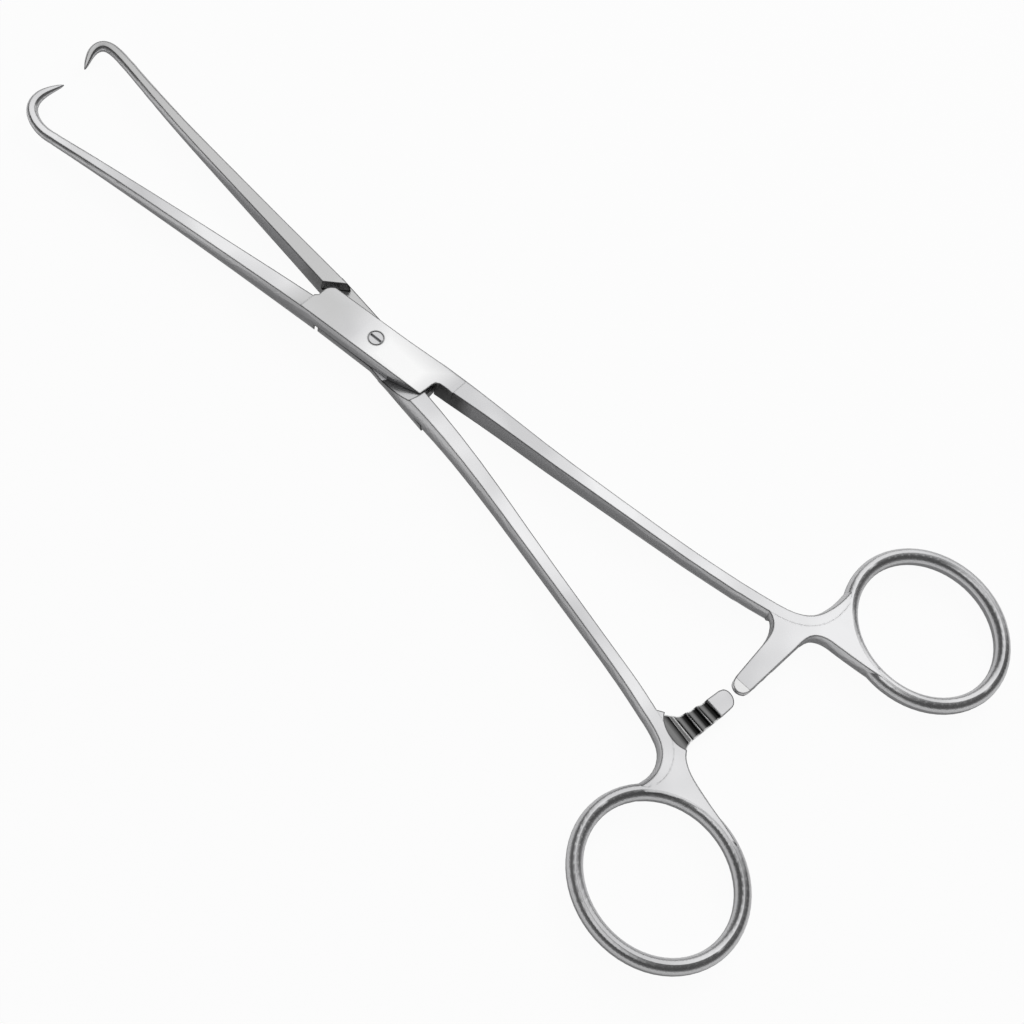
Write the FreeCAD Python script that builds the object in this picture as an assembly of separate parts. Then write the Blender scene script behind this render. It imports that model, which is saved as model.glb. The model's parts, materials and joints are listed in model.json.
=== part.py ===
import FreeCAD, Part
import math
import os

# Cervical tenaculum forceps, single tooth, with a screw lap joint.
# Millimetres. The pivot axis is Z and the underside of the lap joint is z = 0.
# The hooks point along +X and the finger rings lie along -X.

Vector = FreeCAD.Vector
UP = Vector(0, 0, 1)

# Lap joint
LAP_THICKNESS = 6.0
MIDDLE = LAP_THICKNESS / 2
LAP_GAP = 0.02
LAP_BULGE = 0.55
PLATE_SWING = 16.4
RECESS_SWING = 16.65
PLATE_REACH = 12.85
SHOULDER_REACH = 12.97
CLOSED_TURN = 7.0
SHOULDER_TURN = 49.0
RAMP_START = 9.0
RAMP_END_HEIGHT = 2.7
PLATE_EDGE = 2.2
SHOULDER_X = 17.0
HEEL_X = -21.0

# Thickness of the two branches away from the joint
JAW_ROOT_X = 16.0
JAW_END_X = 86.0
JAW_END_HALF = 1.2
SHANK_ROOT_X = -18.0
SHANK_END_X = -98.0
SHANK_END_HALF = 2.2
HEEL_BULGE = 1.0
HEEL_BULGE_END_X = -50.0
WEB_SINK = 0.02
STRAIGHT_STEP = 9.0
HOOK_STEP = 1.6
NECK_STEP = 2.8

# The two points pass side by side, one above the other
HOOK_RISE = 0.72

# Finger ring section
RING_WIDE = 3.54
RING_HIGH = 4.44

# Ratchet
RATCHET_GAP = 0.1
TOOTH_RADIUS = 1.6
TOOTH_DEPTH = 0.8
ROOT_RADIUS = 2.65
BAR_END_SLOPE = 24.0
BAR_END_Y = 1.2

# Pivot screw
HEAD_RADIUS = 1.7
HEAD_DEPTH = 1.6
SHOULDER_RADIUS = 1.4
THREAD_RADIUS = 1.15
RUNNING_CLEARANCE = 0.03
RIM_BREAK = 0.12
SLOT_WIDTH = 0.5
SLOT_DEPTH = 0.6
SLOT_LENGTH = 2.9


def flat(x, y, z=MIDDLE):
    return Vector(x, y, z)


def line(a, b):
    return Part.LineSegment(a, b).toShape()


def arc(a, middle, b):
    return Part.Arc(a, middle, b).toShape()


def curve(points):
    spline = Part.BSplineCurve()
    spline.interpolate(points)
    return spline.toShape()


def box(x0, x1, y0, y1, z0, z1):
    return Part.makeBox(x1 - x0, y1 - y0, z1 - z0, Vector(x0, y0, z0))


def between(value, a, b, at_a, at_b):
    share = min(max((value - a) / (b - a), 0.0), 1.0)
    return at_a + (at_b - at_a) * share


def jaw_half(x):
    return between(x, JAW_ROOT_X, JAW_END_X, MIDDLE, JAW_END_HALF)


def shank_half(x):
    return between(x, SHANK_ROOT_X, SHANK_END_X, MIDDLE, SHANK_END_HALF)


def section(centre, across, half_height, half_top, bulge_left, bulge_right):
    """Closed cross-section with flat top and bottom and curved sides."""
    lift = UP * half_height
    left = centre - across * half_top
    right = centre + across * half_top
    left_middle = left - across * bulge_left
    right_middle = right + across * bulge_right
    edges = [
        line(left + lift, right + lift),
        arc(right + lift, right_middle, right - lift),
        line(right - lift, left - lift),
        arc(left - lift, left_middle, left + lift),
    ]
    return Part.Wire(edges)


def refined(stations, step):
    """Evenly spaced stations on a smooth curve through the given ones."""
    run = [0.0]
    for before, after in zip(stations[:-1], stations[1:]):
        run.append(run[-1] + math.hypot(after[0] - before[0], after[1] - before[1]))
    last = len(stations) - 1
    slopes = []
    for index in range(last + 1):
        low, high = max(index - 1, 0), min(index + 1, last)
        span = run[high] - run[low]
        slopes.append([(b - a) / span for a, b in zip(stations[low], stations[high])])
    count = max(int(round(run[-1] / step)), 2)
    result = []
    for number in range(count + 1):
        place = run[-1] * number / count
        index = 0
        while index < last - 1 and place > run[index + 1]:
            index += 1
        span = run[index + 1] - run[index]
        t = (place - run[index]) / span
        row = []
        for column, (a, b) in enumerate(zip(stations[index], stations[index + 1])):
            slope_a, slope_b = slopes[index][column] * span, slopes[index + 1][column] * span
            row.append((2 * t**3 - 3 * t**2 + 1) * a + (t**3 - 2 * t**2 + t) * slope_a
                       + (3 * t**2 - 2 * t**3) * b + (t**3 - t**2) * slope_b)
        result.append(tuple(row))
    return result


def two_part_bar(straight, bent, straight_step, bent_step):
    """A long straight bar and its bent end, which share the last straight section.

    Stations are (x, y, z, top width, left bulge, right bulge, half height).
    """
    first = refined(straight, straight_step)
    stations = first + refined([straight[-1]] + bent, bent_step)[1:]
    wires = []
    last = len(stations) - 1
    for index, station in enumerate(stations):
        before = stations[max(index - 1, 0)]
        after = stations[min(index + 1, last)]
        ahead = Vector(after[0] - before[0], after[1] - before[1], 0)
        ahead.normalize()
        across = Vector(ahead.y, -ahead.x, 0)
        x, y, z, top, left, right, half = station
        wires.append(section(flat(x, y, z), across, half, top / 2, left, right))
    joint = len(first)
    slab = box(-160, 120, -80, 80, 0, LAP_THICKNESS)
    long_part = Part.makeLoft(wires[:joint], True, False).common(slab)
    return long_part.fuse(Part.makeLoft(wires[joint - 1:], True, False))


def jaw_stations(rows, outer, inner):
    """Straight part of a jaw. Each row is (x, centre y, top width)."""
    result = []
    for x, y, top in rows:
        swell = between(x, JAW_ROOT_X, JAW_END_X, 0.0, 1.0)
        outside = LAP_BULGE + 0.13 * swell
        inside = 0.12 + 0.5 * swell
        left = outside if outer == "left" else inside
        right = inside if outer == "left" else outside
        result.append((x, y, MIDDLE, top, left, right, jaw_half(x)))
    return result


def hook_stations(rows, rise):
    """Curved claw. Each row is (x, y, full width, half height)."""
    result = []
    last = len(rows) - 1
    for index, row in enumerate(rows):
        x, y, wide, half = row
        top = 0.5 * wide
        side = 0.25 * wide
        z = MIDDLE + rise * math.sin(0.5 * math.pi * index / last)
        result.append((x, y, z, top, side, side, half))
    return result


def shank_stations(rows, outer):
    """Shank from the joint to the neck. Each row is (x, centre y, top width)."""
    result = []
    for x, y, top in rows:
        inside = between(x, SHANK_ROOT_X, SHANK_END_X, 0.15, 0.5)
        outside = between(x, SHANK_ROOT_X, HEEL_BULGE_END_X, HEEL_BULGE, LAP_BULGE)
        left = outside if outer == "left" else inside
        right = inside if outer == "left" else outside
        result.append((x, y, MIDDLE, top, left, right, shank_half(x)))
    return result


def neck_stations(rows):
    """Neck that runs into the ring and ends inside it. Each row is (x, y, top width, bulge, half height)."""
    return [(x, y, MIDDLE, top, bulge, bulge, half) for x, y, top, bulge, half in rows]


def lap_bar(edges):
    """Full-thickness bar under the lap plate. Each edge is (x, low y, high y)."""
    wires = []
    for x, low, high in edges:
        middle = flat(x, (low + high) / 2)
        wires.append(section(middle, Vector(0, 1, 0), MIDDLE, (high - low) / 2, LAP_BULGE, LAP_BULGE))
    return Part.makeLoft(wires, True, True)


def polar(radius, degrees, z=MIDDLE):
    turn = math.radians(degrees)
    return Vector(radius * math.cos(turn), radius * math.sin(turn), z)


def slanted(reach, degrees, y):
    """x on the line whose normal stands at degrees and which lies reach from the pivot axis."""
    turn = math.radians(degrees)
    return (reach - y * math.sin(turn)) / math.cos(turn)


def plate_shape(side, low, high, crotch):
    """Plan outline of a lap plate between z low and z high; side is +1 or -1."""
    def at(x, y):
        return Vector(x, side * y, low)

    def swung(degrees):
        return polar(PLATE_SWING, side * degrees, low)

    def clipped(y):
        return at(slanted(PLATE_REACH, SHOULDER_TURN - CLOSED_TURN, -y), y)

    corner = polar(PLATE_SWING, 180 - side * 8.6, low)
    notch = polar(PLATE_SWING + 0.12, 180 + side * 3.6, low)
    edges = [
        line(at(18.5, 9.5), at(-15.4, 9.5)),
        line(at(-15.4, 9.5), corner),
        arc(corner, polar(PLATE_SWING, 180 - side * 2.5, low), notch),
        arc(notch, at(-17.4, -2.15), at(-19.2, -2.5)),
        line(at(-19.2, -2.5), at(-24, -2.6)),
        line(at(-24, -2.6), at(-24, -10.5)),
        line(at(-24, -10.5), clipped(-10.5)),
        line(clipped(-10.5), clipped(-PLATE_EDGE)),
        arc(clipped(-PLATE_EDGE), clipped(-1.3), swung(-1.5)),
        arc(swung(-1.5), swung(0), swung(crotch - 3)),
        line(swung(crotch - 3), polar(PLATE_SWING + 1.0, side * crotch, low)),
        line(polar(PLATE_SWING + 1.0, side * crotch, low), at(18.5, 9.5)),
    ]
    return Part.Face(Part.Wire(edges)).extrude(UP * (high - low))


def sector(first, last, low, high):
    """Wedge round the pivot axis between two directions in degrees."""
    far = 2 * PLATE_SWING
    corners = [Vector(0, 0, low), polar(far, first, low), polar(far, (first + last) / 2, low), polar(far, last, low)]
    edges = [line(a, b) for a, b in zip(corners, corners[1:] + corners[:1])]
    return Part.Face(Part.Wire(edges)).extrude(UP * (high - low))


def ramp_cone(gap):
    """Space above the sloping heel of the lower branch, turned about the pivot axis."""
    slope = RAMP_END_HEIGHT / (PLATE_SWING - RAMP_START)
    height = LAP_THICKNESS
    return Part.makeCone(RAMP_START - gap, RAMP_START - gap + height / slope, height, Vector(0, 0, MIDDLE))


def recess_tool(side, low, high):
    """Room for the other plate: round at the heel, a slanted wall at the jaw."""
    far = 12.0
    corners = [Vector(0, -far, low), Vector(0, far, low)]
    if side > 0:
        wall = [slanted(SHOULDER_REACH, SHOULDER_TURN, far), slanted(SHOULDER_REACH, SHOULDER_TURN, 0)]
        corners += [Vector(wall[0], far, low), Vector(wall[1], 0, low), Vector(wall[1], -far, low)]
    else:
        wall = [slanted(SHOULDER_REACH, SHOULDER_TURN, 0), slanted(SHOULDER_REACH, SHOULDER_TURN, far)]
        corners += [Vector(wall[0], far, low), Vector(wall[0], 0, low), Vector(wall[1], -far, low)]
    edges = [line(a, b) for a, b in zip(corners, corners[1:] + corners[:1])]
    front = Part.Face(Part.Wire(edges)).extrude(UP * (high - low))
    back = Part.makeCylinder(RECESS_SWING, high - low, Vector(0, 0, low), UP, 180)
    back.rotate(Vector(0, 0, 0), UP, 90)
    return front.fuse(back)


def shifted(points, bulge):
    """Plan points moved outwards by their own bulge. Each point is (x, y, bulge)."""
    count = len(points)
    area = 0.0
    for index, point in enumerate(points):
        after = points[(index + 1) % count]
        area += point[0] * after[1] - after[0] * point[1]
    turn = 1.0 if area > 0 else -1.0
    result = []
    for index, point in enumerate(points):
        before = points[index - 1]
        after = points[(index + 1) % count]
        ahead = Vector(after[0] - before[0], after[1] - before[1], 0)
        ahead.normalize()
        outward = Vector(ahead.y, -ahead.x, 0) * turn
        result.append(Vector(point[0], point[1], 0) + outward * point[2] * bulge)
    return result


def web_level(parts, bulge, z):
    """One closed plan wire of the web at height z, from its named runs of points."""
    run_lengths = [len(points) for kind, points in parts]
    every = []
    for kind, points in parts:
        every.extend(points)
    moved = [Vector(p.x, p.y, z) for p in shifted(every, bulge)]
    runs = []
    start = 0
    for length in run_lengths:
        runs.append(moved[start:start + length])
        start += length
    edges = []
    for index, run in enumerate(runs):
        after = runs[(index + 1) % len(runs)]
        kind = parts[index][0]
        points = run + [after[0]]
        if kind == "curve":
            edges.append(curve(points))
        elif kind == "arc":
            edges.append(arc(points[0], points[1], points[2]))
        else:
            for a, b in zip(points[:-1], points[1:]):
                edges.append(line(a, b))
    return Part.Wire(edges)


def web_solid(parts):
    half = SHANK_END_HALF - WEB_SINK
    levels = [
        web_level(parts, 0.0, MIDDLE - half),
        web_level(parts, 1.0, MIDDLE),
        web_level(parts, 0.0, MIDDLE + half),
    ]
    return Part.makeLoft(levels, True, False)


def ring_solid(centre, along, semi_long, semi_short):
    """Finger ring: an oval section carried round an oval. along is in degrees."""
    path = Part.Ellipse(Vector(0, 0, 0), semi_long, semi_short)
    turn = FreeCAD.Placement(centre, FreeCAD.Rotation(UP, along))
    halves = []
    for first, last in ((0, math.pi), (math.pi, 2 * math.pi)):
        spine = Part.Wire([path.toShape(first, last)])
        start = path.value(first)
        profile = Part.Ellipse(Vector(0, 0, 0), RING_HIGH / 2, RING_WIDE / 2).toShape()
        profile.Placement = FreeCAD.Placement(start, FreeCAD.Rotation(UP, Vector(1, 0, 0), Vector(0, 1, 0), "ZXY"))
        halves.append(spine.makePipeShell([Part.Wire([profile])], True, True))
    ring = halves[0].fuse(halves[1])
    ring.Placement = turn
    return ring


def radial_cylinder(degrees, radius, z):
    """Cylinder that lies along a radius of the pivot, in the ratchet."""
    start = polar(100.0, 180 - degrees, z)
    ahead = polar(1.0, 180 - degrees, 0)
    return Part.makeCylinder(radius, 16, start, ahead)


def ratchet_cutter(shape, side, root, scallops, upward):
    """Tool that leaves half a bar with scalloped teeth.

    side is +1 where the bar stands at positive y; root is the angle of the root scoop.
    """
    face_z = MIDDLE - RATCHET_GAP if upward else MIDDLE + RATCHET_GAP
    sign = 1 if upward else -1
    plan = Part.Face(Part.Wire(shape)).extrude(UP * 12)
    plan.translate(Vector(0, 0, -3 - plan.BoundBox.ZMin))
    low, high = (face_z, 9.0) if upward else (-3.0, face_z)
    slab = box(-117, -98, -14, 14, low, high)
    scoop_y = 109 * math.sin(math.radians(root))
    slab.translate(Vector(0, scoop_y - side * 14, 0))
    scoop = radial_cylinder(root, ROOT_RADIUS, face_z + sign * (ROOT_RADIUS - 0.2))
    tool = slab.fuse(scoop).common(plan)
    for degrees in scallops:
        tool = tool.fuse(radial_cylinder(degrees, TOOTH_RADIUS, face_z + sign * (TOOTH_RADIUS - TOOTH_DEPTH)))
    return tool


def root_outline(side, drop, z=0.0):
    """Plan outline of the ratchet root on the branch at positive y (side +1) or negative y."""
    def at(x, y):
        return Vector(x, side * (y - drop), z)

    return [
        curve([at(-102.0, 17.6), at(-102.9, 19.0), at(-105.3, 20.55), at(-108.2, 21.15), at(-110.6, 20.7)]),
        line(at(-110.6, 20.7), at(-117, 18.5)),
        line(at(-117, 18.5), at(-117, -4)),
        line(at(-117, -4), at(-103, -4)),
        line(at(-103, -4), at(-102.0, 17.6)),
    ]


# Upper branch: jaw at positive y, ring at negative y
upper_jaw = [
    (6.0, 3.0, 4.3),
    (11.5, 3.75, 4.05),
    (17.0, 4.53, 3.85),
    (34.0, 7.13, 3.25),
    (51.0, 9.85, 2.7),
    (68.0, 12.7, 2.1),
    (78.0, 14.5, 1.75),
    (86.0, 16.05, 1.45),
]
upper_hook = [
    (89.2, 16.6, 2.75, 1.17),
    (91.6, 16.55, 2.7, 1.14),
    (93.7, 16.0, 2.65, 1.1),
    (95.5, 15.0, 2.6, 1.05),
    (96.65, 13.65, 2.6, 1.0),
    (97.25, 12.05, 2.5, 0.94),
    (97.35, 10.3, 2.3, 0.86),
    (97.05, 8.45, 1.85, 0.66),
    (96.55, 6.7, 1.25, 0.48),
    (96.05, 5.1, 0.2, 0.08),
]
upper_shank = [
    (-6.0, -3.15, 4.3),
    (-12.0, -3.75, 4.3),
    (-19.0, -4.6, 4.3),
    (-28.6, -5.83, 3.75),
    (-46.7, -7.75, 3.0),
    (-64.4, -10.08, 2.55),
    (-81.8, -12.48, 2.45),
    (-95.0, -14.75, 2.5),
]
upper_neck = [
    (-103.1, -16.6, 2.4, 0.55, 2.2),
    (-106.9, -17.75, 2.4, 0.6, 2.2),
    (-110.0, -19.5, 2.3, 0.65, 2.2),
    (-112.2, -22.2, 2.2, 0.7, 2.2),
    (-113.3, -25.6, 2.0, 0.85, 2.2),
    (-113.5, -29.3, 1.4, 1.0, 2.2),
    (-113.1, -32.6, 0.8, 1.05, 2.05),
    (-112.65, -35.6, 0.4, 0.85, 1.6),
    (-112.2, -38.6, 0.2, 0.5, 0.9),
]
upper_web = [
    ("curve", [(-100.5, -15.6, 0.0), (-102.3, -15.5, 0.3), (-104.3, -14.85, 0.4),
               (-105.9, -13.3, 0.4), (-106.75, -10.8, 0.2)]),
    ("line", [(-107.0, -7.8, 0.1), (-107.5, 0.6, 0.1)]),
    ("curve", [(-107.7, 1.6, 0.1), (-108.4, 2.6, 0.1), (-109.7, 3.0, 0.1), (-110.9, 2.6, 0.1)]),
    ("line", [(-111.7, 1.3, 0.1)]),
    ("curve", [(-112.4, -12.9, 0.15), (-112.5, -15.6, 0.3), (-113.3, -18.0, 0.4), (-115.2, -19.4, 0.5),
               (-119.0, -20.1, 0.7), (-124.0, -20.65, 0.6), (-127.8, -21.2, 0.5)]),
    ("line", [(-131.5, -22.0, 0.0), (-124.5, -22.8, 0.0), (-120.0, -24.75, 0.0), (-115.2, -29.2, 0.0),
              (-113.3, -32.6, 0.0), (-113.5, -29.5, 0.0), (-113.2, -25.6, 0.0), (-112.0, -22.3, 0.0),
              (-109.8, -19.5, 0.0), (-106.8, -17.75, 0.0), (-103.0, -16.6, 0.0)]),
]

# Lower branch: jaw at negative y, ring at positive y
lower_jaw = [
    (6.0, -2.45, 4.3),
    (11.5, -2.85, 4.1),
    (17.0, -3.28, 3.95),
    (34.0, -4.58, 3.25),
    (51.0, -5.88, 2.75),
    (68.0, -7.22, 2.15),
    (80.0, -8.5, 1.7),
    (89.5, -9.7, 1.4),
]
lower_hook = [
    (92.6, -10.05, 2.7, 1.16),
    (95.05, -10.3, 2.7, 1.14),
    (97.1, -10.25, 2.65, 1.12),
    (98.65, -9.85, 2.6, 1.08),
    (99.5, -8.95, 2.45, 1.03),
    (99.85, -7.65, 2.3, 0.96),
    (99.6, -6.3, 2.05, 0.86),
    (98.9, -4.78, 1.65, 0.62),
    (98.0, -3.3, 1.1, 0.4),
    (97.18, -2.0, 0.2, 0.08),
]
lower_shank = [
    (-6.0, 2.7, 4.1),
    (-12.0, 3.2, 4.1),
    (-19.0, 3.8, 3.85),
    (-28.0, 4.95, 3.45),
    (-39.0, 6.8, 3.2),
    (-57.4, 10.65, 2.7),
    (-77.0, 14.7, 2.45),
    (-88.0, 16.95, 2.5),
    (-98.0, 19.4, 2.6),
]
lower_neck = [
    (-101.9, 20.5, 2.5, 0.55, 2.2),
    (-105.4, 21.75, 2.5, 0.6, 2.2),
    (-108.2, 23.75, 2.4, 0.65, 2.2),
    (-110.1, 26.9, 2.1, 0.8, 2.2),
    (-110.4, 30.2, 1.5, 1.0, 2.2),
    (-109.6, 33.1, 0.9, 1.05, 2.05),
    (-108.25, 35.8, 0.4, 0.85, 1.6),
    (-106.95, 38.3, 0.2, 0.5, 0.9),
]
lower_web = [
    ("curve", [(-100.5, 18.8, 0.0), (-102.0, 17.95, 0.3), (-103.6, 16.85, 0.35),
               (-104.85, 15.1, 0.25), (-105.5, 13.0, 0.15)]),
    ("line", [(-106.3, 9.6, 0.1), (-107.0, 5.2, 0.1)]),
    ("curve", [(-107.4, 4.35, 0.1), (-108.3, 3.9, 0.1), (-109.5, 4.0, 0.1), (-110.6, 4.65, 0.1)]),
    ("line", [(-111.2, 5.8, 0.1), (-111.05, 7.9, 0.1)]),
    ("curve", [(-110.0, 17.0, 0.1), (-110.3, 19.7, 0.25), (-111.4, 21.7, 0.4), (-113.8, 23.5, 0.5),
               (-118.0, 25.05, 0.7), (-123.3, 26.3, 0.6), (-127.2, 27.15, 0.5)]),
    ("line", [(-131.0, 28.3, 0.0), (-122.0, 27.9, 0.0), (-117.3, 29.0, 0.0), (-112.9, 31.4, 0.0),
              (-110.4, 33.6, 0.0), (-110.4, 30.6, 0.0), (-110.0, 26.9, 0.0), (-108.0, 23.9, 0.0),
              (-105.3, 21.8, 0.0), (-101.8, 20.5, 0.0)]),
]

# Openings of the two finger rings
UPPER_RING_CENTRE = Vector(-129.7, -38.1, MIDDLE)
UPPER_RING_ALONG = 173.4
UPPER_RING_SEMI = (17.75, 16.15)
LOWER_RING_CENTRE = Vector(-124.1, 44.0, MIDDLE)
LOWER_RING_ALONG = 170.8
LOWER_RING_SEMI = (18.25, 16.3)


def cleaned(shape):
    shape = shape.removeSplitter()
    solids = sorted(shape.Solids, key=lambda solid: solid.Volume)
    return solids[-1]


def upper_branch():
    jaw = two_part_bar(jaw_stations(upper_jaw, "left", "right"), hook_stations(upper_hook, HOOK_RISE),
                       STRAIGHT_STEP, HOOK_STEP)
    handle = two_part_bar(shank_stations(upper_shank, "left"), neck_stations(upper_neck),
                          STRAIGHT_STEP, NECK_STEP)
    recess = recess_tool(1, MIDDLE + LAP_GAP - LAP_THICKNESS, MIDDLE + LAP_GAP)
    plate = lap_bar([(HEEL_X, -6.75, PLATE_EDGE), (SHOULDER_X, -PLATE_EDGE, 6.42)])
    plate = plate.common(plate_shape(1, MIDDLE + LAP_GAP, LAP_THICKNESS + 1, 8.3))
    heel = sector(100, 186.2, MIDDLE, LAP_THICKNESS + 1)
    plate = plate.cut(heel).fuse(plate.common(heel).common(ramp_cone(LAP_GAP * 3)))
    web = web_solid(upper_web)
    ring = ring_solid(UPPER_RING_CENTRE, UPPER_RING_ALONG, *UPPER_RING_SEMI)
    root = root_outline(-1, 4.4)
    teeth = ratchet_cutter(root, -1, -7.5, (-2.42, -0.98, 0.48), False)
    web = web.cut(teeth)
    handle = handle.cut(teeth)
    bevel = box(-116, -104, 0, 6, 0, 4)
    bevel.rotate(Vector(-110, 0, 0), Vector(1, 0, 0), -BAR_END_SLOPE)
    bevel.translate(Vector(0, BAR_END_Y, SHANK_END_HALF + MIDDLE))
    web = web.cut(bevel)
    body = jaw.cut(recess).fuse([handle.cut(recess), plate, web, ring])
    body = body.cut(screw_bore())
    return cleaned(body)


def lower_branch():
    jaw = two_part_bar(jaw_stations(lower_jaw, "right", "left"), hook_stations(lower_hook, -HOOK_RISE),
                       STRAIGHT_STEP, HOOK_STEP)
    handle = two_part_bar(shank_stations(lower_shank, "right"), neck_stations(lower_neck),
                          STRAIGHT_STEP, NECK_STEP)
    recess = recess_tool(-1, MIDDLE - LAP_GAP, MIDDLE - LAP_GAP + LAP_THICKNESS)
    heel = sector(130, 179, MIDDLE, MIDDLE + 2 * LAP_THICKNESS)
    heel_recess = recess.cut(heel).fuse(recess.common(heel).common(ramp_cone(0.0)))
    plate = lap_bar([(HEEL_X, -PLATE_EDGE, 6.45), (-3.0, -4.1, 4.3), (SHOULDER_X, -6.1, 6.2)])
    plate = plate.common(plate_shape(-1, -1, MIDDLE - LAP_GAP, 4.6))
    web = web_solid(lower_web)
    ring = ring_solid(LOWER_RING_CENTRE, LOWER_RING_ALONG, *LOWER_RING_SEMI)
    root = root_outline(1, 0.0)
    teeth = ratchet_cutter(root, 1, 9.95, (5.3, 6.77, 8.25), True)
    web = web.cut(teeth)
    handle = handle.cut(teeth)
    body = jaw.cut(recess).fuse([handle.cut(heel_recess), plate, web, ring])
    thread = Part.makeCylinder(THREAD_RADIUS, LAP_THICKNESS, Vector(0, 0, -1))
    body = body.cut(thread)
    return cleaned(body)


def screw_bore():
    head_seat = LAP_THICKNESS - HEAD_DEPTH
    bore = Part.makeCylinder(SHOULDER_RADIUS + RUNNING_CLEARANCE, 8, Vector(0, 0, 0))
    seat = Part.makeCylinder(HEAD_RADIUS + RUNNING_CLEARANCE, 4, Vector(0, 0, head_seat - RUNNING_CLEARANCE))
    rim_low = LAP_THICKNESS - RIM_BREAK
    wide = HEAD_RADIUS + RUNNING_CLEARANCE + 2 * RIM_BREAK
    rim = Part.makeCone(HEAD_RADIUS + RUNNING_CLEARANCE, wide, 2 * RIM_BREAK, Vector(0, 0, rim_low))
    return bore.fuse([seat, rim])


def pivot_screw():
    head_seat = LAP_THICKNESS - HEAD_DEPTH
    head = Part.makeCylinder(HEAD_RADIUS, HEAD_DEPTH - RIM_BREAK, Vector(0, 0, head_seat))
    rim = Part.makeCone(HEAD_RADIUS, HEAD_RADIUS - RIM_BREAK, RIM_BREAK, Vector(0, 0, LAP_THICKNESS - RIM_BREAK))
    shoulder = Part.makeCylinder(SHOULDER_RADIUS, HEAD_DEPTH, Vector(0, 0, MIDDLE - LAP_GAP))
    thread = Part.makeCylinder(THREAD_RADIUS, MIDDLE)
    slot = box(-SLOT_LENGTH / 2, SLOT_LENGTH / 2, -SLOT_WIDTH / 2, SLOT_WIDTH / 2, LAP_THICKNESS - SLOT_DEPTH, 9)
    slot.rotate(Vector(0, 0, 0), UP, 4)
    return cleaned(head.fuse([rim, shoulder, thread]).cut(slot))


os.makedirs("parts", exist_ok=True)
for name, make in (
    ("upper_branch", upper_branch),
    ("lower_branch", lower_branch),
    ("pivot_screw", pivot_screw),
):
    solid = make()
    print(name, solid.isValid(), round(solid.Volume, 1), len(solid.Faces), solid.BoundBox)
    solid.exportStep("parts/" + name + ".step")
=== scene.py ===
"""Cervical tenaculum forceps on a pale floor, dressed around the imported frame."""

import json
import logging
import math
from dataclasses import dataclass, field
from enum import Enum

import bpy
from mathutils import Matrix, Vector

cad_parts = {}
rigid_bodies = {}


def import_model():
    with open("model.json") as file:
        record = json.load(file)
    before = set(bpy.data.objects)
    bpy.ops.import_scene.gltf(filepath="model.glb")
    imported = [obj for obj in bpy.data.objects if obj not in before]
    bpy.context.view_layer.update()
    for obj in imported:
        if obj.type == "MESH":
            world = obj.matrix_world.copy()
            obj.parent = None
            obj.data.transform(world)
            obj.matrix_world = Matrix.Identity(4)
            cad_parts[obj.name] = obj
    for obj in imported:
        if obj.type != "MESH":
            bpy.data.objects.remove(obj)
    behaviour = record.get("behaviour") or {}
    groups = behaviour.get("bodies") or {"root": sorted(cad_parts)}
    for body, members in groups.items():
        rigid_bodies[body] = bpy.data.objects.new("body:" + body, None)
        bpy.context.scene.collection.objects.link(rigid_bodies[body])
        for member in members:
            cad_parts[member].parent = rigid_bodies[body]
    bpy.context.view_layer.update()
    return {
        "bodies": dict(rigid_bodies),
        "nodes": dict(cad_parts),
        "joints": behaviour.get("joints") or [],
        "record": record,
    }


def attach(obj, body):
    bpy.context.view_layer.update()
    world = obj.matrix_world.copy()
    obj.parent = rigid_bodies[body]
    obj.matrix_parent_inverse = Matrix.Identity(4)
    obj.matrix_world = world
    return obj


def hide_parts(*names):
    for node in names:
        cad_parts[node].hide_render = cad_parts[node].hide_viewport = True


LOG = logging.getLogger("forceps")
MM = 0.001

Triple = tuple[float, float, float]
Socket = bpy.types.NodeSocket
Tree = bpy.types.NodeTree
Node = bpy.types.Node
Value = Triple | float | Socket


class Mixed(Enum):
    """What a blend mixes."""

    COLOUR = "RGBA"
    LEVEL = "FLOAT"


class Maths(Enum):
    """The kind of a node that works with numbers."""

    NUMBER = "ShaderNodeMath"
    VECTOR = "ShaderNodeVectorMath"


def grey(level: float) -> Triple:
    """A neutral colour of one linear level."""
    return (level, level, level)


def feed(tree: Tree, value: Value, socket: Socket) -> None:
    """Gives a socket its value.

    Args:
        tree: the tree that holds the socket's node.
        value: an output to link, or a plain colour or number.
        socket: the input.
    """
    if isinstance(value, Socket):
        tree.links.new(value, socket)
    elif isinstance(value, tuple):
        socket.default_value = (*value, 1.0)
    else:
        socket.default_value = value


def blend(tree: Tree, factor: Socket, below: Value, over: Value, mixed: Mixed = Mixed.COLOUR) -> Socket:
    """Mixes two colours or two levels.

    Args:
        tree: the tree to build in.
        factor: the share of the value on top.
        below: the value where the factor is nought.
        over: the value where the factor is one.
        mixed: whether colours or levels are mixed.

    Returns:
        The mixed output.
    """
    mix = tree.nodes.new("ShaderNodeMix")
    mix.data_type = mixed.value
    feed(tree, below, mix.inputs["A"])
    feed(tree, over, mix.inputs["B"])
    feed(tree, factor, mix.inputs["Factor"])
    return mix.outputs["Result"]


def band(tree: Tree, value: Socket, start: float, end: float, smooth: bool = False) -> Socket:
    """A mask that rises from nought at start to one at end.

    Args:
        tree: the tree to build in.
        value: the output to read.
        start: the value at which the mask is nought.
        end: the value at which the mask is one.
        smooth: True to ease the mask in and out.

    Returns:
        The mask's output.
    """
    mask = tree.nodes.new("ShaderNodeMapRange")
    if smooth:
        mask.interpolation_type = "SMOOTHSTEP"
    mask.inputs["From Min"].default_value = start
    mask.inputs["From Max"].default_value = end
    tree.links.new(value, mask.inputs["Value"])
    return mask.outputs["Result"]


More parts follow.
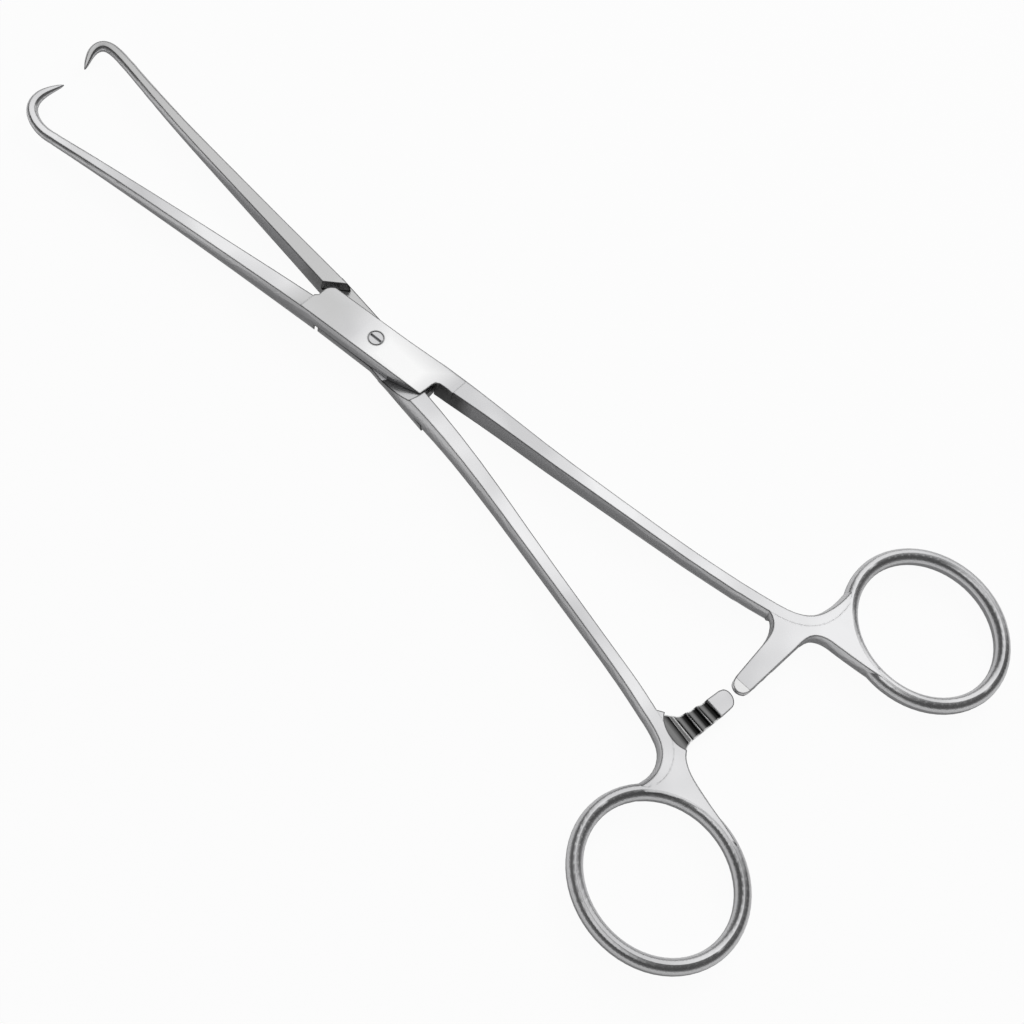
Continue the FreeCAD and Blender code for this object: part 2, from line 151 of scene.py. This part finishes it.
def worked(tree: Tree, maths: Maths, operation: str, *values: Value) -> Node:
    """Adds a node that works out something from the values.

    Args:
        tree: the tree to build in.
        maths: whether it works with numbers or vectors.
        operation: the node's operation, such as MULTIPLY.
        values: outputs to link or plain numbers, in order.

    Returns:
        The node.
    """
    node = tree.nodes.new(maths.value)
    node.operation = operation
    for index, value in enumerate(values):
        feed(tree, value, node.inputs[index])
    return node


def product(tree: Tree, first: Socket, second: Value) -> Socket:
    """One value times another."""
    return worked(tree, Maths.NUMBER, "MULTIPLY", first, second).outputs[0]


def split_axis(tree: Tree, vector: Socket, axis: str) -> Socket:
    """The X, Y or Z of a vector."""
    split = tree.nodes.new("ShaderNodeSeparateXYZ")
    tree.links.new(vector, split.inputs["Vector"])
    return split.outputs[axis]


def face_normal(tree: Tree, axis: str) -> Socket:
    """How far a face is turned towards X, Y or Z."""
    shape = tree.nodes.new("ShaderNodeNewGeometry")
    return split_axis(tree, shape.outputs["True Normal"], axis)


class ShaderGroup:
    """A shader node group that is built once and placed in each steel material."""

    NAME: str
    INPUTS: tuple[tuple[str, str, float | None], ...]
    OUTPUTS: tuple[str, ...]

    def wire(self, tree: Tree, inside: Node, outside: Node) -> None:
        """Adds the group's own nodes.

        Args:
            tree: the group.
            inside: the node that gives its inputs.
            outside: the node that takes its outputs.
        """
        raise NotImplementedError

    def build(self) -> Tree:
        """Builds the group at the first call.

        Returns:
            The node group.
        """
        if self.NAME in bpy.data.node_groups:
            return bpy.data.node_groups[self.NAME]
        tree = bpy.data.node_groups.new(self.NAME, "ShaderNodeTree")
        for name, kind, default in self.INPUTS:
            socket = tree.interface.new_socket(name=name, in_out="INPUT", socket_type=kind)
            if default is not None:
                socket.default_value = default
        for name in self.OUTPUTS:
            tree.interface.new_socket(name=name, in_out="OUTPUT", socket_type="NodeSocketFloat")
        inside = tree.nodes.new("NodeGroupInput")
        outside = tree.nodes.new("NodeGroupOutput")
        self.wire(tree, inside, outside)
        return tree

    def place(self, tree: Tree) -> Node:
        """Places the group in a material.

        Args:
            tree: the material's tree.

        Returns:
            The group's node.
        """
        node = tree.nodes.new("ShaderNodeGroup")
        node.node_tree = self.build()
        return node


class SteelGrain(ShaderGroup):
    """Fine satin scratches, slow unevenness that lays a patchy painted sheen, and masks of the sloping and
    upright faces, which are painted darker as shade.
    """

    NAME = "steel_grain"
    INPUTS = (("Fine Scale", "NodeSocketFloat", 2200.0), ("Slow Scale", "NodeSocketFloat", 38.0))
    OUTPUTS = ("Fine", "Slow", "Flank", "Wall")
    DETAIL = 2.0
    FLANK_BAND = (0.9, 0.5)
    WALL_BAND = (0.4, 0.12)

    def wire(self, tree: Tree, inside: Node, outside: Node) -> None:
        """Adds the group's own nodes.

        Args:
            tree: the group.
            inside: gives Fine Scale and Slow Scale, in waves per metre.
            outside: takes Fine (scratches), Slow (unevenness), Flank and Wall.
        """
        nodes, links = tree.nodes, tree.links
        place = nodes.new("ShaderNodeTexCoord")
        for scale, result in (("Fine Scale", "Fine"), ("Slow Scale", "Slow")):
            noise = nodes.new("ShaderNodeTexNoise")
            noise.inputs["Detail"].default_value = self.DETAIL
            links.new(place.outputs["Object"], noise.inputs["Vector"])
            links.new(inside.outputs[scale], noise.inputs["Scale"])
            links.new(noise.outputs["Fac"], outside.inputs[result])
        level = worked(tree, Maths.NUMBER, "ABSOLUTE", face_normal(tree, "Z")).outputs[0]
        links.new(band(tree, level, *self.FLANK_BAND), outside.inputs["Flank"])
        links.new(band(tree, level, *self.WALL_BAND), outside.inputs["Wall"])


class EdgeMask(ShaderGroup):
    """A thin line along every crease, where the steel turns away from the light."""

    NAME = "edge_mask"
    INPUTS = (("Radius", "NodeSocketFloat", 0.2 * MM),)
    OUTPUTS = ("Edge",)
    SAMPLES = 8
    LINE_BAND = (0.995, 0.965)

    def wire(self, tree: Tree, inside: Node, outside: Node) -> None:
        """Adds the group's own nodes.

        Args:
            tree: the group.
            inside: gives Radius, in metres.
            outside: takes Edge.
        """
        rounded = tree.nodes.new("ShaderNodeBevel")
        rounded.samples = self.SAMPLES
        tree.links.new(inside.outputs["Radius"], rounded.inputs["Radius"])
        shape = tree.nodes.new("ShaderNodeNewGeometry")
        normals = (rounded.outputs["Normal"], shape.outputs["Normal"])
        agree = worked(tree, Maths.VECTOR, "DOT_PRODUCT", *normals).outputs["Value"]
        tree.links.new(band(tree, agree, *self.LINE_BAND), outside.inputs["Edge"])


class BoxMask(ShaderGroup):
    """One inside a box of object space, falling off softly at its sides."""

    NAME = "box_mask"
    INPUTS = (
        ("Centre", "NodeSocketVector", None),
        ("Half", "NodeSocketVector", None),
        ("Soft", "NodeSocketFloat", 0.2 * MM),
    )
    OUTPUTS = ("Inside",)

    def wire(self, tree: Tree, inside: Node, outside: Node) -> None:
        """Adds the group's own nodes.

        Args:
            tree: the group.
            inside: gives Centre, Half and Soft, in metres.
            outside: takes Inside.
        """
        place = tree.nodes.new("ShaderNodeTexCoord").outputs["Object"]
        away = worked(tree, Maths.VECTOR, "SUBTRACT", place, inside.outputs["Centre"])
        size = worked(tree, Maths.VECTOR, "ABSOLUTE", away.outputs["Vector"])
        room = worked(tree, Maths.VECTOR, "SUBTRACT", inside.outputs["Half"], size.outputs["Vector"])
        least, *others = (split_axis(tree, room.outputs["Vector"], axis) for axis in "XYZ")
        for other in others:
            least = worked(tree, Maths.NUMBER, "MINIMUM", least, other).outputs[0]
        fade = tree.nodes.new("ShaderNodeMapRange")
        tree.links.new(inside.outputs["Soft"], fade.inputs["From Max"])
        tree.links.new(least, fade.inputs["Value"])
        tree.links.new(fade.outputs["Result"], outside.inputs["Inside"])


class Faces(Enum):
    """Which faces inside a patch take its level."""

    ALL = "all"
    WALLS = "walls"
    TOPS = "tops"


@dataclass(frozen=True)
class SteelPatch:
    """A box of a branch, in millimetres, where painted shade and painted highlight change the steel's grey.

    level is the painted grey inside the box, or None where only the crease lines change. towards_y is the
    painted shade of the faces turned towards +Y, ridge the painted grey of the crease lines, and soft the
    width of the fall-off.
    """

    centre: Triple
    half: Triple
    level: float | None = 0.10
    towards_y: float | None = None
    ridge: float | None = None
    faces: Faces = Faces.ALL
    soft: float = 0.2
    turned_band: tuple[float, float] = (-0.15, 0.30)

    def inside(self, tree: Tree) -> Socket:
        """Places the patch's box.

        Args:
            tree: the material's tree.

        Returns:
            The output that is one inside the box.
        """
        box = BoxMask().place(tree)
        box.inputs["Centre"].default_value = Vector(self.centre) * MM
        box.inputs["Half"].default_value = Vector(self.half) * MM
        box.inputs["Soft"].default_value = self.soft * MM
        return box.outputs["Inside"]

    def limited(self, tree: Tree, inside: Socket, grain: Node) -> Socket:
        """Keeps the patch to its own faces.

        Args:
            tree: the material's tree.
            inside: the output of the patch's box.
            grain: the node of the steel_grain group.

        Returns:
            The output of the patch's share.
        """
        if self.faces is Faces.ALL:
            return inside
        if self.faces is Faces.WALLS:
            return product(tree, inside, grain.outputs["Wall"])
        return product(tree, inside, band(tree, grain.outputs["Flank"], 1.0, 0.0))

    def colour(self, tree: Tree) -> Value:
        """The patch's painted grey, with the painted shade of the faces towards +Y."""
        if self.towards_y is None:
            return grey(self.level)
        turned = band(tree, face_normal(tree, "Y"), *self.turned_band)
        return blend(tree, turned, grey(self.level), grey(self.towards_y))


@dataclass(frozen=True)
class SteelAndPaintedLight:
    """Satin steel with painted light: dark lines of shade along the creases, darker sloping and upright
    faces, a patchy painted sheen, and boxes of painted shade and painted highlight.
    """

    name: str
    face: Triple = (0.93, 0.93, 0.94)
    # The next grey is laid at random by slow noise, as a painted uneven reflection on the steel.
    patchy_sheen: Triple = (0.66, 0.66, 0.67)
    patchy_sheen_band: tuple[float, float] = (0.38, 0.62)
    # The sloping and the upright faces are painted darker, as shade.
    flank_shade: Triple = (0.85, 0.85, 0.86)
    wall_shade: Triple = (0.45, 0.45, 0.46)
    # Painted dark shade along every crease, with its width and strength.
    line: Triple = (0.03, 0.03, 0.03)
    line_mm: float = 0.50
    line_share: float = 0.90
    roughness: float = 0.27
    spread: float = 0.08
    bump: float = 0.01
    bump_mm: float = 0.02
    patches: tuple[SteelPatch, ...] = ()

    def colour(self, tree: Tree, grain: Node) -> Socket:
        """Builds the steel's colour, with its painted shade, sheen and highlights.

        Args:
            tree: the material's tree.
            grain: the node of the steel_grain group.

        Returns:
            The colour output.
        """
        even = band(tree, grain.outputs["Slow"], *self.patchy_sheen_band)
        colour = blend(tree, even, self.patchy_sheen, self.face)
        colour = blend(tree, grain.outputs["Flank"], colour, self.flank_shade)
        colour = blend(tree, grain.outputs["Wall"], colour, self.wall_shade)
        line: Value = self.line
        for patch in self.patches:
            inside = patch.inside(tree)
            # A patch's ridge paints its crease lines lighter, as a highlight.
            if patch.ridge is not None:
                line = blend(tree, inside, line, grey(patch.ridge))
            # A patch's level paints shade or highlight into the steel's grey inside its box.
            if patch.level is not None:
                colour = blend(tree, patch.limited(tree, inside, grain), colour, patch.colour(tree))
        edge = EdgeMask().place(tree)
        edge.inputs["Radius"].default_value = self.line_mm * MM
        return blend(tree, product(tree, edge.outputs["Edge"], self.line_share), colour, line)

    def material(self) -> bpy.types.Material:
        """Makes the Blender material.

        Returns:
            The material.
        """
        made = bpy.data.materials.new(self.name)
        made.use_nodes = True
        tree = made.node_tree
        steel = tree.nodes["Principled BSDF"]
        steel.inputs["Metallic"].default_value = 1.0
        grain = SteelGrain().place(tree)
        tree.links.new(self.colour(tree, grain), steel.inputs["Base Color"])
        rough = tree.nodes.new("ShaderNodeMapRange")
        rough.inputs["To Min"].default_value = self.roughness - self.spread / 2
        rough.inputs["To Max"].default_value = self.roughness + self.spread / 2
        tree.links.new(grain.outputs["Slow"], rough.inputs["Value"])
        tree.links.new(rough.outputs["Result"], steel.inputs["Roughness"])
        bump = tree.nodes.new("ShaderNodeBump")
        bump.inputs["Strength"].default_value = self.bump
        bump.inputs["Distance"].default_value = self.bump_mm * MM
        tree.links.new(grain.outputs["Fine"], bump.inputs["Height"])
        tree.links.new(bump.outputs["Normal"], steel.inputs["Normal"])
        return made


# Painted highlight on a sloping facet near the end of the bar.
BRIGHT_BAR_END = SteelPatch(centre=(-109.8, 2.5, 5.0), half=(4.0, 1.3, 1.3), level=1.0)
# The painted crease shade is lighter around the screw's rim.
SCREW_RIM = SteelPatch(centre=(0.0, 0.0, 6.0), half=(2.6, 2.6, 1.0), level=None, ridge=0.35)
# Painted shade on the upright faces in the crotch beside the lap.
DARK_CROTCH = SteelPatch(centre=(-17.5, -2.2, 3.0), half=(9.0, 6.0, 6.0), faces=Faces.WALLS, soft=4.0)
# Painted dimmer reflection on the top faces near the end of the plate.
DIM_PLATE_END = SteelPatch(
    centre=(13.4, 1.5, 6.0), half=(10.0, 9.0, 8.0), level=0.62, faces=Faces.TOPS, soft=8.0
)
# Painted brighter reflection on the top faces of the plate.
BRIGHT_PLATE = SteelPatch(
    centre=(-8.0, 0.5, 6.0), half=(12.0, 9.0, 8.0), level=1.0, faces=Faces.TOPS, soft=7.0
)
# Painted shade in the ratchet's scallops, near black on faces turned towards +Y, with painted highlight along
# the ridges.
DARK_RATCHET = SteelPatch(
    centre=(-106.8, 15.1, 1.0), half=(5.6, 6.4, 2.3), level=0.24, towards_y=0.02, ridge=0.95
)
# Painted shade on the upright walls of the shoulder beside the lap.
DIM_SHOULDER = SteelPatch(
    centre=(18.0, -1.0, 4.6), half=(8.0, 8.0, 5.0), level=0.30, faces=Faces.WALLS, soft=4.0
)
# Painted shade on the top faces in the lap's recess.
DIM_RECESS = SteelPatch(centre=(9.0, -6.0, 3.0), half=(9.0, 7.0, 4.0), level=0.60, faces=Faces.TOPS, soft=3.0)
# Painted dimmer reflection on the top faces of the lower jaw.
DIM_JAW = SteelPatch(centre=(58.0, -5.0, 4.0), half=(46.0, 14.0, 8.0), level=0.62, faces=Faces.TOPS, soft=5.0)

UPPER_STEEL = SteelAndPaintedLight(
    name="satin_steel", patches=(BRIGHT_BAR_END, SCREW_RIM, DARK_CROTCH, DIM_PLATE_END, BRIGHT_PLATE)
)
LOWER_STEEL = SteelAndPaintedLight(
    name="toothed_satin_steel", patches=(DARK_RATCHET, DIM_SHOULDER, DIM_RECESS, DIM_JAW)
)
SCREW_STEEL = SteelAndPaintedLight(name="screw_steel", roughness=0.36, line_mm=0.25, line_share=0.7)


@dataclass(frozen=True)
class SideEase:
    """Eases a branch's side back where it starts to swell beside the lap, in millimetres.

    side is the sign of y on that side. The plain edge starts at edge_y beside start_x, leans out by
    edge_slope towards the rings, and swells at mid height.
    """

    side: float
    edge_y: float
    edge_slope: float
    swell: float = 0.5
    start_x: float = -5.6
    end_x: float = -15.0
    mid_z: float = 3.0

    def apply(self, mesh: bpy.types.Mesh) -> None:
        """Turns the side's points inwards about the pivot, fully at start_x and not at all at end_x.

        Args:
            mesh: the branch's own copy of its mesh.
        """
        for vertex in mesh.vertices:
            x, y, z = vertex.co / MM
            if not self.end_x < x < self.start_x:
                continue
            roundness = 1.0 - ((z - self.mid_z) / self.mid_z) ** 2
            plain = self.edge_y + (self.start_x - x) * self.edge_slope + self.swell * roundness
            beyond = self.side * y - plain
            if beyond > 0.0:
                share = (x - self.end_x) / (self.start_x - self.end_x)
                vertex.co = Matrix.Rotation(self.side * beyond * share / -x, 3, "Z") @ vertex.co


@dataclass(frozen=True)
class ForcepsPiece:
    """One solid of the forceps, with its steel and painted light and, on a branch, an eased side."""

    node: str
    body: str
    slot: str
    steel_and_light: SteelAndPaintedLight
    ease: SideEase | None = None

    def eased_copy(self, solid: bpy.types.Object) -> bpy.types.Object:
        """Makes the eased piece that replaces the solid.

        Args:
            solid: the node's object.

        Returns:
            The new piece, on the solid's body.
        """
        mesh = solid.data.copy()
        self.ease.apply(mesh)
        piece = bpy.data.objects.new(f"{self.node}_eased", mesh)
        bpy.context.scene.collection.objects.link(piece)
        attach(piece, self.body)
        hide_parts(self.node)
        return piece

    def dress(self, frame: dict) -> bpy.types.Object:
        """Gives the solid, or the eased copy that replaces it, its steel.


        Returns:
            The dressed object.
        """
        piece = frame["nodes"][self.node]
        if self.ease is not None:
            piece = self.eased_copy(piece)
        piece.data.materials.clear()
        piece.data.materials.append(self.steel_and_light.material())
        return piece


PIECES = (
    ForcepsPiece(
        node="upper_branch",
        body="moving_branch",
        slot="satin_steel",
        steel_and_light=UPPER_STEEL,
        ease=SideEase(side=-1.0, edge_y=4.95, edge_slope=0.107),
    ),
    ForcepsPiece(
        node="lower_branch",
        body="fixed_branch",
        slot="satin_steel",
        steel_and_light=LOWER_STEEL,
        ease=SideEase(side=1.0, edge_y=4.72, edge_slope=0.077),
    ),
    ForcepsPiece(node="pivot_screw", body="fixed_branch", slot="screw_steel", steel_and_light=SCREW_STEEL),
)


@dataclass(frozen=True)
class SkyLobe:
    """A soft bright patch of the studio's surroundings."""

    towards: Triple
    inner_deg: float
    outer_deg: float
    level: float

    def over(self, tree: Tree, direction: Socket, below: Value) -> Socket:
        """Lays the patch over what is behind it.

        Args:
            tree: the world's tree.
            direction: the output that gives where a ray goes.
            below: the level behind the patch.

        Returns:
            The level's output.
        """
        dot = worked(tree, Maths.VECTOR, "DOT_PRODUCT", direction)
        dot.inputs[1].default_value = Vector(self.towards).normalized()
        outer = math.cos(math.radians(self.outer_deg))
        inner = math.cos(math.radians(self.inner_deg))
        share = band(tree, dot.outputs["Value"], outer, inner, smooth=True)
        return blend(tree, share, below, self.level, Mixed.LEVEL)


@dataclass(frozen=True)
class Studio:
    """Pale floor, one soft lamp and plain surroundings."""

    floor_half: float = 3.0
    floor_colour: Triple = (0.88, 0.88, 0.88)
    floor_roughness: float = 0.9
    camera_white: float = 0.95
    glossy_white: float = 0.15
    base_level: float = 0.08
    horizon_level: float = 0.26
    horizon_top: float = 0.32
    lobes: tuple[SkyLobe, ...] = (
        SkyLobe(towards=(0.195, -0.384, 0.903), inner_deg=14.0, outer_deg=38.0, level=1.0),
        SkyLobe(towards=(0.667, -0.488, 0.562), inner_deg=8.0, outer_deg=26.0, level=0.80),
        SkyLobe(towards=(0.30, -0.85, 0.42), inner_deg=18.0, outer_deg=42.0, level=0.92),
        SkyLobe(towards=(0.04, 0.41, 0.91), inner_deg=8.0, outer_deg=20.0, level=0.95),
    )
    key_place: Triple = (0.05, -0.75, 0.50)
    key_power: float = 2.2
    key_size: float = 0.40

    def floor_material(self) -> bpy.types.Material:
        """Makes the pale floor, which the camera and the steel see brighter than it is lit.

        Returns:
            The material.
        """
        material = bpy.data.materials.new("pale_floor")
        material.use_nodes = True
        tree = material.node_tree
        nodes, links = tree.nodes, tree.links
        paper = nodes["Principled BSDF"]
        paper.inputs["Base Color"].default_value = (*self.floor_colour, 1.0)
        paper.inputs["Roughness"].default_value = self.floor_roughness
        paper.inputs["Specular IOR Level"].default_value = 0.0
        glow = nodes.new("ShaderNodeEmission")
        rays = nodes.new("ShaderNodeLightPath")
        camera = product(tree, rays.outputs["Is Camera Ray"], self.camera_white)
        glossy = product(tree, rays.outputs["Is Glossy Ray"], self.glossy_white)
        both = nodes.new("ShaderNodeMixShader")
        links.new(worked(tree, Maths.NUMBER, "ADD", camera, glossy).outputs[0], both.inputs["Fac"])
        links.new(paper.outputs["BSDF"], both.inputs[1])
        links.new(glow.outputs["Emission"], both.inputs[2])
        links.new(both.outputs["Shader"], nodes["Material Output"].inputs["Surface"])
        return material

    def floor(self) -> bpy.types.Object:
        """Makes the floor at the height that the lap joint rests on.

        Returns:
            The floor's object.
        """
        half = self.floor_half
        mesh = bpy.data.meshes.new("floor")
        corners = [(-half, -half, 0), (half, -half, 0), (half, half, 0), (-half, half, 0)]
        mesh.from_pydata(corners, [], [(0, 1, 2, 3)])
        mesh.materials.append(self.floor_material())
        floor = bpy.data.objects.new("floor", mesh)
        bpy.context.scene.collection.objects.link(floor)
        return floor

    def key_lamp(self) -> bpy.types.Object:
        """Makes the soft square lamp that looks at the pivot.

        Returns:
            The lamp's object.
        """
        data = bpy.data.lights.new("key", "AREA")
        data.energy = self.key_power
        data.size = self.key_size
        lamp = bpy.data.objects.new("key", data)
        lamp.location = self.key_place
        lamp.rotation_euler = (-Vector(self.key_place)).to_track_quat("-Z", "Y").to_euler()
        lamp.visible_glossy = False
        bpy.context.scene.collection.objects.link(lamp)
        return lamp

    def world(self) -> bpy.types.World:
        """Makes surroundings with soft brighter patches, which the camera sees white.

        Returns:
            The world, set as the scene's own.
        """
        world = bpy.data.worlds.new("plain")
        world.use_nodes = True
        tree = world.node_tree
        direction = tree.nodes.new("ShaderNodeTexCoord").outputs["Generated"]
        level: Value = self.base_level
        for lobe in self.lobes:
            level = lobe.over(tree, direction, level)
        rise = band(tree, split_axis(tree, direction, "Z"), 0.0, self.horizon_top, smooth=True)
        level = blend(tree, rise, self.horizon_level, level, Mixed.LEVEL)
        seen = tree.nodes.new("ShaderNodeLightPath").outputs["Is Camera Ray"]
        level = blend(tree, seen, level, self.camera_white, Mixed.LEVEL)
        tree.links.new(level, tree.nodes["Background"].inputs["Color"])
        bpy.context.scene.world = world
        return world

    def build(self) -> None:
        """Sets up floor, lamp and world."""
        self.floor()
        self.key_lamp()
        self.world()


@dataclass
class PhotoCamera:
    """The photograph's own view: place and axes in millimetres of the frame."""

    place_mm: Vector = field(default_factory=lambda: Vector((-128.50, 163.62, 370.97)))
    right: Vector = field(default_factory=lambda: Vector((-0.72077, -0.68028, 0.13304)))
    up: Vector = field(default_factory=lambda: Vector((0.66505, -0.62456, 0.40944)))
    focal_px: float = 1900.0
    image_px: float = 1024.0
    sensor_mm: float = 36.0
    clip_start: float = 0.01

    def build(self) -> bpy.types.Object:
        """Makes the camera.

        Returns:
            The camera object, set as the scene's own.
        """
        data = bpy.data.cameras.new("photo_view")
        data.sensor_fit = "HORIZONTAL"
        data.sensor_width = self.sensor_mm
        data.lens = self.focal_px / self.image_px * self.sensor_mm
        data.clip_start = self.clip_start
        camera = bpy.data.objects.new("photo_view", data)
        back = self.right.cross(self.up)
        turn = Matrix((self.right, self.up, back)).transposed().to_4x4()
        camera.matrix_world = Matrix.Translation(self.place_mm * MM) @ turn
        bpy.context.scene.collection.objects.link(camera)
        bpy.context.scene.camera = camera
        return camera


def main() -> None:
    """Loads the frame, sets up the studio and dresses each piece."""
    logging.basicConfig(level=logging.INFO)
    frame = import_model()
    PhotoCamera().build()
    Studio().build()
    bpy.context.scene.view_settings.view_transform = "Standard"
    for piece in PIECES:
        dressed = piece.dress(frame)
        LOG.info("dressed %s", dressed.name)


if __name__ == "__main__":
    main()
